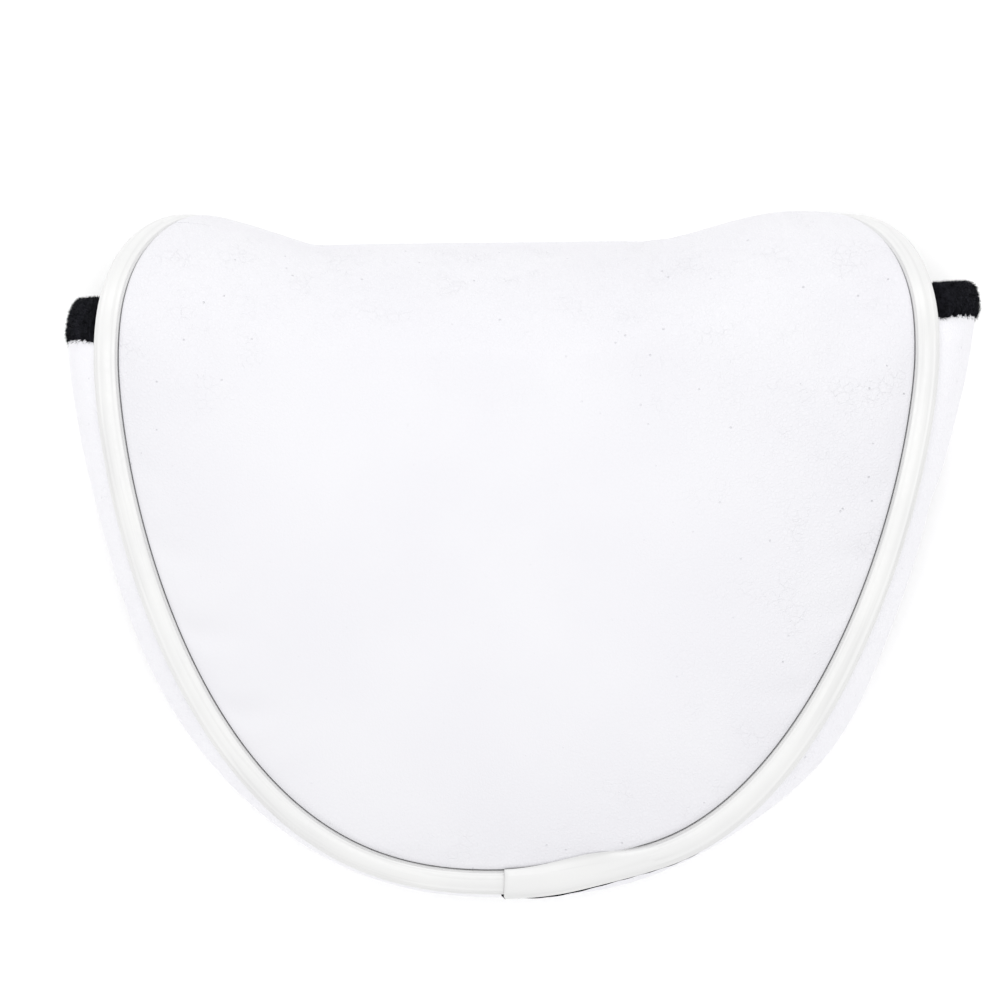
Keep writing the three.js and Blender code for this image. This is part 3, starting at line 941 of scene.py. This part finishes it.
# ------------------------------------------------------------------ gusset

def gusset_front_z(y):
    over = np.sqrt(np.maximum((ROLL_RADIUS - SEAM_DEPTH) ** 2 - np.maximum(y - ROLL_Y, 0) ** 2, 0))
    return np.where(y <= ROLL_Y, front_seam_z(y) - SEAM_DEPTH, ROLL_Z + over)


def gusset_back_z(y):
    return back_z(y) + SEAM_DEPTH


def gusset_bulge(length, y, depth):
    """The gusset bows out between its seams, most at the mouth, with a slack place low on the right."""
    up = np.clip((y - SEAM_END_Y) / (MOUTH_RIGHT_Y - SEAM_END_Y), 0, 1)
    side = lerp(BULGE_END, BULGE_SIDE, smoothstep(up, 0, BULGE_RISE))
    swell = SWELL * np.exp(-(((length - SWELL_MIDDLE) / SWELL_SPREAD) ** 2))
    at_mouth = np.where(length < 0, BULGE_MOUTH_LEFT, BULGE_MOUTH_RIGHT)
    near_mouth = np.clip((up - MOUTH_BULGE_START) / (1 - MOUTH_BULGE_START), 0, 1)
    most = lerp(side, at_mouth, near_mouth**2) + swell
    return most * np.sin(math.pi * np.clip(depth, 0, 1)) ** BULGE_ROUNDNESS


def gusset_end(side, depth):
    """Length of the plan's edge at which the gusset ends, at a depth from its front, 0, to its back, 1."""
    front_y = MOUTH_LEFT_Y if side < 0 else MOUTH_RIGHT_Y
    y = lerp(front_y, MOUTH_BACK_Y, depth**MOUTH_SLANT_POWER)
    return plan_edge.length_to(y - SEAM_END_Y)


# The padding's grid stops just short of the ends of the plan's edge.
GUSSET_LIFT_LENGTH = 129
GUSSET_LIFT_COLUMNS = 15
gusset_lift = Lift(
    np.linspace(0, 1, GUSSET_LIFT_COLUMNS),
    np.arange(-GUSSET_LIFT_LENGTH, GUSSET_LIFT_LENGTH + 1, SHEET_SPACING),
)


def gusset_point(length, depth, out):
    """A place on the gusset: length round the plan, depth from its front to its back, and how far out."""
    x, along, out_x, out_along = plan_edge.at(length)
    y = SEAM_END_Y + along
    reach = out + gusset_bulge(length, y, depth) + gusset_lift.at(depth, length)
    z = lerp(gusset_front_z(y), gusset_back_z(y), depth)
    return leaned(x + out_x * reach, y + out_along * reach, z)


GUSSET_SPACING = 0.9
GUSSET_ROWS = 44
TUCK = 1.2
TUCK_FADE = 22
PUCKER_FADE = 9
GUSSET_GRAIN_PLACE = 90.0
GUSSET_SNUG = 0.2


def gusset_layer(name, layer, material, outer_out, inner_out, spacing, rows):
    longest = max(float(gusset_end(side, np.array(0.0))) for side in (-1, 1))
    share = np.linspace(-1, 1, 2 * int(round(longest / spacing)) + 1)[:, None]
    depth = (0.5 - 0.5 * np.cos(math.pi * np.linspace(0, 1, rows + 1)))[None, :]
    end = np.where(share < 0, gusset_end(-1, depth), gusset_end(1, depth))
    length = share * end
    tuck = TUCK * (np.exp(-depth * TUCK_FADE) + np.exp(-(1 - depth) * TUCK_FADE))
    wave = np.sin(length / 1.3 + 1.7 * np.sin(length / 8)) * np.exp(-depth * PUCKER_FADE)
    wave = wave + np.sin(length / 1.5 + 1) * np.exp(-(1 - depth) * PUCKER_FADE)
    depth = np.broadcast_to(depth, length.shape)
    is_leather = layer == "leather"
    ripple = PUCKER_HEIGHT * wave if is_leather else 0
    outer = gusset_point(length, depth, outer_out - tuck + ripple).reshape(-1, 3)
    inner = gusset_point(length, depth, inner_out - tuck).reshape(-1, 3)
    faces = grid_faces(np.arange(length.size).reshape(length.shape))
    piece = add_slab(name, outer, inner, faces, material)
    tall = 2 * ROLL_RADIUS
    apart = np.full(length.size, GUSSET_GRAIN_PLACE)
    coordinates = np.stack([length.ravel(), depth.ravel() * tall, apart], -1)
    crease = np.ones(length.size) if is_leather else None
    finish_piece(piece, coordinates, crease)
    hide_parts(f"gusset_{layer}")
    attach(piece, "cover")
    return piece


def add_gusset():
    coarse = 2 * GUSSET_SPACING
    skin = gusset_layer(
        "gusset_skin", "leather", side_leather_painted_light,
        LEATHER_OUT, LEATHER_OUT - GUSSET_LEATHER, GUSSET_SPACING, GUSSET_ROWS,
    )
    pad = gusset_layer(
        "gusset_foam_pad", "foam", foam, FOAM_OUT + GUSSET_SNUG, FOAM_OUT - GUSSET_FOAM, coarse, 16
    )
    gusset_layer("gusset_plush", "lining", plush, PLUSH_OUT + GUSSET_SNUG, GAP, coarse, 20)


# ------------------------------------------------------------------ plush bindings

FIBRE_LENGTH = 0.44
FIBRE_WIDTH = 0.1
FIBRES_PER_MM2 = 13
COMB = np.array([0.0, -0.35, 0.0])
FRINGE = 0.6
LEAN_SPREAD = 0.4
FIBRE_RANGE = (0.5, 1.25)
ROOT_DEPTH = 0.1
CORNER_ASIDE = 0.87

BINDING_LENGTH = {-1: 5.6, 1: 4.0}
BINDING_PROUD = {-1: 0.6, 1: 0.75}
BINDING_TAPER = {-1: 1.3, 1: -0.2}
BINDING_OVERLAP = 0.45
BINDING_SQUARENESS = 0.62
BINDING_RISE = 0.5
RISE_DEPTH = 0.22
RAGGED = 0.2
PROUD_BEHIND = 0.3
PROUD_FADE = (0.35, 0.65)
LIP_INSET = 1.5
LIP_SQUARENESS = 0.6


def add_pile(name, source, rng):
    """Short fibres that stand on a piece: thin closed cones, leaning at random."""
    mesh = source.data
    mesh.calc_loop_triangles()
    corners = np.array([t.vertices[:] for t in mesh.loop_triangles])
    points = np.array([v.co[:] for v in mesh.vertices]) / MM
    a, b, c = (points[corners[:, k]] for k in range(3))
    normals = np.cross(b - a, c - a)
    areas = np.linalg.norm(normals, axis=1) / 2
    count = int(areas.sum() * FIBRES_PER_MM2)
    chosen = rng.choice(len(areas), count, p=areas / areas.sum())
    u, v = rng.random((2, count))
    over = u + v > 1
    u[over], v[over] = 1 - u[over], 1 - v[over]
    root = a[chosen] + (b - a)[chosen] * u[:, None] + (c - a)[chosen] * v[:, None]
    normal = normals[chosen] / (2 * areas[chosen, None])
    lean = normal + COMB + rng.normal(0, LEAN_SPREAD, (count, 3))
    lean /= np.linalg.norm(lean, axis=1)[:, None]
    fringe = 1 + FRINGE * np.clip(-normal[:, 1:2], 0, 1)
    long = FIBRE_LENGTH * rng.uniform(*FIBRE_RANGE, count)[:, None] * fringe
    side = np.cross(lean, rng.normal(0, 1, (count, 3)))
    side *= FIBRE_WIDTH / 2 / np.linalg.norm(side, axis=1)[:, None]
    other = np.cross(lean, side)
    base = root - normal * ROOT_DEPTH
    aside = other * CORNER_ASIDE
    ring = [base + side, base - side / 2 + aside, base - side / 2 - aside]
    points = np.stack([*ring, root + lean * long], 1).reshape(-1, 3)
    first = np.arange(count)[:, None] * 4
    order = np.array([[0, 1, 3, 3], [1, 2, 3, 3], [2, 0, 3, 3], [2, 1, 0, 0]])
    faces = (first[:, None, :] + order[None]).reshape(-1, 4)
    piece = add_mesh(name, points, faces, plush)
    set_attribute(piece, "grain", points * MM)
    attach(piece, "cover")


def mouth_binding_rings(side, turn):
    """Rings of one mouth binding, from the gusset's front edge to its back, round the angles `turn`.

    It is longest at the front, overlaps the leather with a ragged edge, and stands proud where it shows.
    """
    depth = np.linspace(0.02, 0.98, 161)[:, None]
    end, outer = np.cos(turn), np.sin(turn)
    waves = np.sin(depth * 97) + 0.7 * np.sin(depth * 151 + 1) + 0.5 * np.sin(depth * 223 + 2)
    ragged = RAGGED * waves * np.clip(-end, 0, 1)
    rise = BINDING_RISE * np.exp(-((depth / RISE_DEPTH) ** 2))
    size = BINDING_OVERLAP + BINDING_LENGTH[side] + rise
    share = (1 + squared(end, BINDING_SQUARENESS)) / 2
    along = gusset_end(side, depth) - BINDING_OVERLAP + size * share + ragged
    proud = BINDING_PROUD[side] * lerp(1, PROUD_BEHIND, smoothstep(depth, *PROUD_FADE))
    thinner = BINDING_TAPER[side] * share * (outer > 0)
    reach = (LEATHER_OUT - GAP) / 2 + proud - thinner
    out = (GAP + LEATHER_OUT) / 2 + reach * squared(outer, BINDING_SQUARENESS)
    return gusset_point(side * along, np.broadcast_to(depth, along.shape), out)


def add_bindings():
    rng = np.random.default_rng(SEED)
    turn = np.linspace(0, 2 * math.pi, 41)[:-1]
    for name, side in (("left", -1), ("right", 1)):
        rings = mouth_binding_rings(side, turn)
        piece = add_tube(f"mouth_binding_plush_{name}", rings, plush)
        finish_rod(piece, rings)
        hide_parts(f"mouth_binding_{name}")
        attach(piece, "cover")
        add_pile(f"mouth_binding_pile_{name}", piece, rng)

    x = np.linspace(-HALF_WIDTH + LIP_INSET, HALF_WIDTH - LIP_INSET, 101)[:, None]
    middle_y, reach_y = (LIP_LOW_Y + LIP_Y) / 2, (LIP_Y - LIP_LOW_Y) / 2
    y = middle_y + reach_y * squared(np.cos(turn), LIP_SQUARENESS)
    z = BACK_STEP + PANEL_WALL / 2 * (1 + squared(np.sin(turn), LIP_SQUARENESS))
    rings = leaned(*np.broadcast_arrays(x, y, z))
    lip = add_tube("back_lip_plush", rings, plush)
    finish_rod(lip, rings)
    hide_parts("back_lip_binding")
    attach(lip, "cover")
    add_pile("back_lip_pile", lip, rng)


def finish_rod(piece, rings):
    """Grain coordinates for a tube: its points themselves."""
    hubs = rings[[0, -1]].mean(1)
    set_attribute(piece, "grain", np.concatenate([rings.reshape(-1, 3), hubs]) * MM)


# ------------------------------------------------------------------ piping

PIPING_SPACING = 0.8
ROLL_ROWS = 30
FLANGE_END = -2.9
FLANGE_UP = -3.1
FLANGE_HALF = 0.35
FLANGE_PLY = 0.3
RIDGE_DEPTH = 0.07
RIDGES = 13
SLACK = 0.17
SLACK_MIDDLE = 38
SLACK_SPREAD = 22


def piping_outline(radius, angle):
    """Points of a section round the piping: a circle below, a rounded square above, where it is pulled flat."""
    power = np.where(np.sin(angle) > 0, PIPING_SQUARENESS, 1.0)
    out = radius * squared(np.cos(angle), power)
    up = radius * squared(np.sin(angle), power)
    return np.stack([PIPING_OUT + out, -PIPING_DOWN + up], -1)


def piping_arc(radius, low, high, count):
    """Points of a plain round section, between two angles."""
    angle = np.radians(np.linspace(low, high, count + 1))
    return np.stack([PIPING_OUT + radius * np.cos(angle), -PIPING_DOWN + radius * np.sin(angle)], -1)


def wrap_section():
    """The strip folded round its cord in faint lengthwise ridges, its edges side by side inside the seam."""
    angle = np.radians(np.linspace(-128, 188, 65))
    radius = PIPING_RADIUS - RIDGE_DEPTH * (1 - np.cos(RIDGES * (angle - math.pi / 2))) / 2
    outside = piping_outline(radius, angle)
    inside = piping_arc(PIPING_RADIUS - WRAP_THICKNESS, -150, 210, 26)[::-1]
    start = np.array([[FLANGE_END, FLANGE_UP - FLANGE_HALF]])
    stop = np.array([[FLANGE_END, FLANGE_UP + FLANGE_HALF]])
    ply = [0, FLANGE_PLY]
    return np.concatenate([start, outside, stop, stop - ply, inside, start + ply])


def edge_frames(edge, lengths, place, s_of, fullness=1.0):
    """Maps a section of [out, up] pairs to points at each length of an edge: array [length, corner, 3].

    Fullness widens the section outwards.
    """
    def swept(section):
        x, along, out_x, out_along = (value[:, None] for value in edge.at(lengths))
        out, up = section[None, :, 0], section[None, :, 1]
        out = np.where(out > 0, out * fullness, out)
        return place(x + out_x * out, s_of(along + out_along * out), up)

    return swept


def front_frames(lengths):
    """The front piping is slacker, and lies wider, low on the right."""
    slack = np.exp(-(((lengths - SLACK_MIDDLE) / SLACK_SPREAD) ** 2))
    return edge_frames(front_edge, lengths, pattern_point, same, 1 + SLACK * slack[:, None])


def add_swept(name, swept, section, material, lengths):
    rings = swept(section)
    piece = add_tube(name, rings, material)
    around = np.concatenate([[0], np.cumsum(np.linalg.norm(np.diff(section, axis=0), axis=1))])
    coordinates = np.stack(np.broadcast_arrays(lengths[:, None], around[None, :], 0.0), -1).reshape(-1, 3)
    hubs = np.array([[lengths[0], 0, 0], [lengths[-1], 0, 0]])
    set_attribute(piece, "grain", np.concatenate([coordinates, hubs]) * MM)
    return piece


def add_piping(label, swept, lengths, nodes, fold=None):
    """A vinyl strip and its core. They ride on the cover, or, given a fold, stay where they are built."""
    wrap = add_swept(f"{label}_piping_vinyl", swept, wrap_section(), vinyl, lengths)
    round_section = piping_arc(CORD_RADIUS, 0, 330, 11)
    core = add_swept(f"{label}_piping_core", swept, round_section, cotton, lengths)
    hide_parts(*[node.format("wrap") for node in nodes])
    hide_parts(*[node.format("cord") for node in nodes])
    for piece in (wrap, core):
        if fold is None:
            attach(piece, "cover")
        else:
            bend_at(piece)


def even_lengths(low, high):
    return np.linspace(low, high, int(round((high - low) / PIPING_SPACING)) + 1)


def roll_frames(side, rows):
    """Section frames up one side of the roll."""
    x = side * half_width(rows)
    dx, ds = np.gradient(x, rows), np.ones_like(rows)
    size = np.hypot(dx, ds)
    out_x, out_s = side * ds / size, -side * dx / size

    def swept(section):
        out, up = section[None, :, 0], section[None, :, 1]
        s = rows[:, None] + out_s[:, None] * out
        return pattern_point(x[:, None] + out_x[:, None] * out, s, up)

    return swept


def add_all_piping():
    lengths = even_lengths(-front_edge.total, front_edge.total)
    add_piping("front", front_frames(lengths), lengths, ["front_piping_{}"], fold=0)

    rows = np.linspace(split_length(SPLITS[0]), split_length(SPLITS[1]), ROLL_ROWS)
    for name, side in (("left", -1), ("right", 1)):
        nodes = [f"roll_{part}_piping_{{}}_{name}" for part in ("upper", "lower")]
        add_piping(f"roll_{name}", roll_frames(side, rows), rows, nodes, fold=1)

    lengths = even_lengths(-flap_edge.total, flap_edge.total)
    swept = edge_frames(flap_edge, lengths, pattern_point, from_flap_end)
    add_piping("flap", swept, lengths, ["flap_piping_{}"], fold=2)

    lengths = even_lengths(-back_edge.total, back_edge.total)
    add_piping("back", edge_frames(plan_edge, lengths, back_point, same), lengths, ["back_piping_{}"])
    add_lap()
    add_lining_edges_and_painted_shadow()


LAP_LENGTH = 23
LAP_THICKNESS = 0.72
LAP_THINNEST = 0.12
TONGUE_REACH = 0.7
TONGUE_TIP = 0.42
LAP_CLEARANCE = 0.06
LAP_GRAIN_PLACE = 30.0


def lap_section(clear, reach, sunk):
    """An arc over the piping from its foot, then a tongue over the edge of the leather.

    As `sunk` goes from 0 to 1, the tongue lies down along the piping instead.
    """
    arc = piping_outline(PIPING_RADIUS + clear, np.radians(np.linspace(-66, 96, 30)))
    share = np.linspace(0, 1, 13)[1:, None]
    tip = np.array([-reach, min(clear, TONGUE_TIP) - 0.1])
    bridge = lerp(arc[-1], tip, share)
    along_piping = piping_outline(PIPING_RADIUS + clear, np.radians(96 + 60 * share[:, 0]))
    return np.concatenate([arc, lerp(bridge, along_piping, sunk)])


def lap_thickness(length):
    return LAP_THICKNESS * (1 - smoothstep(length / LAP_LENGTH, 0.3, 1))


def add_lap():
    """One end of the front strip laps over the other and a little of the leather, and thins out."""
    lengths = np.concatenate([[-0.6, -0.45], np.linspace(-0.3, LAP_LENGTH, 44)])
    share = lengths / LAP_LENGTH
    outer = lap_thickness(lengths) - 0.04 * smoothstep(share, 0.8, 1)
    outer[:2] *= (0.5, 0.85)
    reach = TONGUE_REACH * smoothstep(share, -0.05, 0.5) * (1 - smoothstep(share, 0.5, 0.9))
    sunk = smoothstep(share, 0.55, 0.95)
    inside, outside = [], []
    for length, over, far, low in zip(lengths, outer, reach, sunk):
        swept = front_frames(np.array([length]))
        inside.append(swept(lap_section(min(LAP_CLEARANCE, over - LAP_THINNEST), far, low))[0])
        outside.append(swept(lap_section(over, far, low))[0])
    inside, outside = np.array(inside), np.array(outside)
    shape = inside.shape[:2]
    faces = grid_faces(np.arange(shape[0] * shape[1]).reshape(shape))
    outside, inside = outside.reshape(-1, 3), inside.reshape(-1, 3)
    lap = add_slab("front_piping_lapped_end", outside, inside, faces, vinyl)
    along = np.broadcast_to(lengths[:, None], shape).ravel()
    around = np.broadcast_to(np.linspace(0, 9, shape[1])[None, :], shape).ravel()
    apart = np.full(along.size, LAP_GRAIN_PLACE)
    finish_piece(lap, np.stack([along, around, apart], -1))
    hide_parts("front_piping_lap")
    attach(lap, "cover")


EDGE_START = 1.6
EDGE_END = 34.0
STRIP_ROOT = 2.6
STRIP_ROUND = 0.05
STRIP_LEVELS = (-4.9, -4.75, -4.55, -4.35, -4.3)


def lining_strip_painted_shadow(name, lengths, proud):
    """A strip of the black lining, caught in the seam, that stands out past the piping by `proud`; it also
    stands in for the shadow there, as a painted shadow.
    """
    rings = []
    for length, far in zip(lengths, proud):
        swept = front_frames(np.array([length]))
        tip = PIPING_OUT + PIPING_RADIUS + far
        outs = (STRIP_ROOT, tip, tip + STRIP_ROUND, tip, STRIP_ROOT)
        rings.append(swept(np.stack([outs, STRIP_LEVELS], -1))[0])
    rings = np.array(rings)
    edge = add_tube(name, rings, plush)
    finish_rod(edge, rings)
    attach(edge, "cover")


def add_lining_edges_and_painted_shadow():
    """A raw edge of the lining shows as a thin line below the lapped end, with a scrap at the lap's start. They
    are partly real lining and partly painted shadow: the line's thin tail paints the shadow along the piping's
    edge, and the scrap paints the shaded notch at the lap's corner.
    """
    lengths = np.linspace(EDGE_START, EDGE_END, 80)
    thick = smoothstep(lengths, EDGE_START, 6) * (1 - smoothstep(lengths, 9, 20))
    thin = 1 - smoothstep(lengths, 26, EDGE_END)
    # Past the lap, the strip's thin tail is a painted shadow line along the piping's outer edge.
    proud = lap_thickness(lengths) + 0.2 * thick + 0.27 * thin - 0.12 + 0.03 * np.sin(lengths * 1.9)
    lining_strip_painted_shadow("front_seam_lining_edge_painted_shadow", lengths, proud)
    # The scrap is a black piece that paints the shaded notch at the lap's corner: painted shade.
    lengths = np.linspace(-0.98, -0.36, 7)
    lining_strip_painted_shadow("front_seam_lining_scrap_painted_shade", lengths, np.linspace(0.3, 0.92, 7))


def dress_magnets():
    """The magnets keep their CAD shape and get a plated finish."""
    for name, node in frame["nodes"].items():
        if "magnet" in name:
            node.data.materials.clear()
            node.data.materials.append(nickel)


# ------------------------------------------------------------------ stage

VIEW_MM = 153.7
LENS = 240
SENSOR = 36
VIEW_CENTRE = (-2.45, 8.0)
SEAM_HEIGHT = 40
CLIP = (0.01, 50)
LIGHT_TARGET = (0, 0, 0.02)
HORIZON = 1.1
OVERHEAD = 1.06
OVERHEAD_START = 0.8


def add_camera():
    """Straight above the front panel, far away."""
    data = bpy.data.cameras.new("camera")
    data.lens = LENS
    data.sensor_width = SENSOR
    camera = bpy.data.objects.new("camera", data)
    height = SEAM_HEIGHT + VIEW_MM * LENS / SENSOR
    camera.location = (VIEW_CENTRE[0] * MM, VIEW_CENTRE[1] * MM, height * MM)
    data.clip_start, data.clip_end = CLIP
    bpy.context.scene.collection.objects.link(camera)
    bpy.context.scene.camera = camera


def add_light(name, location, size, power):
    data = bpy.data.lights.new(name, "AREA")
    data.shape = "RECTANGLE"
    data.size, data.size_y = size
    data.energy = power
    made = bpy.data.objects.new(name, data)
    made.location = location
    away = Vector(location) - Vector(LIGHT_TARGET)
    made.rotation_euler = away.to_track_quat("Z", "Y").to_euler()
    bpy.context.scene.collection.objects.link(made)


def add_world():
    """Soft light from all round, a very little weaker overhead than near the horizon."""
    world = bpy.data.worlds.new("studio")
    world.use_nodes = True
    tree = world.node_tree
    direction = tree.nodes.new("ShaderNodeTexCoord").outputs["Generated"]
    split = tree.nodes.new("ShaderNodeSeparateXYZ")
    height = tree.nodes.new("ShaderNodeMapRange")
    tree.links.new(direction, split.inputs[0])
    tree.links.new(split.outputs["Z"], height.inputs["Value"])
    height.inputs["From Min"].default_value = 0.0
    height.inputs["From Max"].default_value = OVERHEAD_START
    height.inputs["To Min"].default_value = HORIZON
    height.inputs["To Max"].default_value = OVERHEAD
    tree.nodes["Background"].inputs["Color"].default_value = (1, 1, 1, 1)
    tree.links.new(height.outputs["Result"], tree.nodes["Background"].inputs["Strength"])
    bpy.context.scene.world = world


def add_stage():
    bpy.ops.mesh.primitive_plane_add(size=8, location=(0, 0, -0.0004))
    floor = bpy.context.object
    floor.name = "floor"
    paper = new_material("pale_floor", (0.96, 0.96, 0.96), 0.9)
    floor.data.materials.append(paper)

    add_world()
    add_light("key", (-0.1, 0.85, 0.75), (0.45, 0.35), 2.2)
    add_light("top", (0.0, 0.05, 1.3), (0.5, 0.5), 3.9)
    bpy.context.scene.view_settings.view_transform = "Standard"
    bpy.context.scene.view_settings.look = "None"


add_camera()
puff_front()
puff_gusset()
add_panels()
add_gusset()
add_bindings()
add_all_piping()
dress_magnets()
add_stage()
